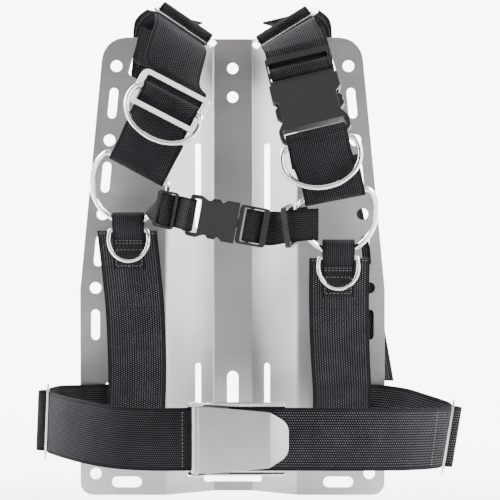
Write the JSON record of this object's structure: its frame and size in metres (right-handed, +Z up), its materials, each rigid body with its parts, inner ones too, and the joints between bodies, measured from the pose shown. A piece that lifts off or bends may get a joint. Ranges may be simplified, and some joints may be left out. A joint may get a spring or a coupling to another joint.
{
  "type": "diving_backplate_harness",
  "caption": "Steel diving backplate with a black webbing harness: shoulder straps, chest strap, waist belt, D rings, adjusters, side-release buckles and a cam buckle",
  "frame": {"origin": "On the rear face of the plate's centre ridge, at half the plate's width and half its height", "axes": "+X to the right when facing the wearer's side, +Y towards the tank behind the plate, +Z up towards the shoulders"},
  "size_m": [0.3585, 0.233, 0.4327],
  "materials": {
    "plate_steel": "fine brushed stainless sheet",
    "wire_steel": "polished stainless wire and strip",
    "webbing": "black woven webbing",
    "plastic": "dark grey moulded plastic"
  },
  "bodies": {
    "harness": {"backplate": "plate_steel", "left_top_tri_glide": "wire_steel", "right_top_tri_glide": "wire_steel", "left_chest_tri_glide": "wire_steel", "left_link_ring": "wire_steel", "right_link_ring": "wire_steel", "waist_left_tri_glide": "wire_steel", "waist_right_tri_glide": "wire_steel", "waist_buckle_frame": "wire_steel", "waist_buckle_pin": "wire_steel", "left_shoulder_strap": "webbing", "right_shoulder_strap": "webbing", "right_chest_strap": "webbing", "left_rear_tail": "webbing", "right_rear_tail": "webbing", "left_ring_tab": "webbing", "right_ring_tab": "webbing", "left_lower_strap": "webbing", "right_lower_strap": "webbing", "chest_strap_left": "webbing", "chest_strap_right": "webbing", "waist_belt_left": "webbing", "waist_belt_right": "webbing", "shoulder_buckle_plug": "plastic", "shoulder_buckle_socket": "plastic", "chest_buckle_plug": "plastic", "chest_buckle_socket": "plastic", "chest_strap_slider": "plastic"},
    "left_shoulder_ring": {"left_shoulder_ring": "wire_steel"},
    "right_shoulder_ring": {"right_shoulder_ring": "wire_steel"},
    "left_small_ring": {"left_small_ring": "wire_steel"},
    "right_small_ring": {"right_small_ring": "wire_steel"},
    "waist_buckle_lever": {"waist_buckle_lever": "wire_steel"},
    "shoulder_buckle_arm_a": {"shoulder_buckle_arm_a": "plastic"},
    "shoulder_buckle_arm_b": {"shoulder_buckle_arm_b": "plastic"},
    "chest_buckle_arm_a": {"chest_buckle_arm_a": "plastic"},
    "chest_buckle_arm_b": {"chest_buckle_arm_b": "plastic"},
    "chest_strap_keeper": {"chest_strap_keeper": "plastic"}
  },
  "joints": [
    {"name": "left_shoulder_ring_swing", "type": "hinge", "parent": "harness", "child": "left_shoulder_ring", "pos_m": [-0.05159, -0.12954, 0.14438], "axis": [-0.887, 0, 0.4617], "range_deg": [0, 75]},
    {"name": "right_shoulder_ring_swing", "type": "hinge", "parent": "harness", "child": "right_shoulder_ring", "pos_m": [0.0714, -0.1706, 0.1084], "axis": [-0.981, 0, -0.1942], "range_deg": [0, 75]},
    {"name": "left_small_ring_swing", "type": "hinge", "parent": "harness", "child": "left_small_ring", "pos_m": [-0.0878, -0.10589, 0.03425], "axis": [-1, 0, 0], "range_deg": [0, 75]},
    {"name": "right_small_ring_swing", "type": "hinge", "parent": "harness", "child": "right_small_ring", "pos_m": [0.0893, -0.13589, 0.01225], "axis": [-1, 0, 0], "range_deg": [0, 75]},
    {"name": "waist_lever_swing", "type": "hinge", "parent": "harness", "child": "waist_buckle_lever", "pos_m": [-0.0275, -0.228, -0.1304], "axis": [0, 0, -1], "range_deg": [0, 100]},
    {"name": "shoulder_buckle_arm_a_flex", "type": "hinge", "parent": "harness", "child": "shoulder_buckle_arm_a", "pos_m": [0.04653, -0.1493, 0.15579], "axis": [-0.0862, -0.9272, 0.3646], "range_deg": [0, 4], "stiffness_Nm_per_rad": 0.35},
    {"name": "shoulder_buckle_arm_b_flex", "type": "hinge", "parent": "harness", "child": "shoulder_buckle_arm_b", "pos_m": [0.07261, -0.1493, 0.16196], "axis": [0.0862, 0.9272, -0.3646], "range_deg": [0, 4], "stiffness_Nm_per_rad": 0.35},
    {"name": "chest_buckle_arm_a_flex", "type": "hinge", "parent": "harness", "child": "chest_buckle_arm_a", "pos_m": [0.00544, -0.15, 0.0504], "axis": [0, -1, 0], "range_deg": [0, 4], "stiffness_Nm_per_rad": 0.2},
    {"name": "chest_buckle_arm_b_flex", "type": "hinge", "parent": "harness", "child": "chest_buckle_arm_b", "pos_m": [0.00219, -0.15, 0.03269], "axis": [0, 1, 0], "range_deg": [0, 4], "stiffness_Nm_per_rad": 0.2},
    {"name": "chest_keeper_slide", "type": "slide", "parent": "harness", "child": "chest_strap_keeper", "axis": [-0.9572, 0.286, -0.0443], "range_m": [0, 0.004]}
  ]
}
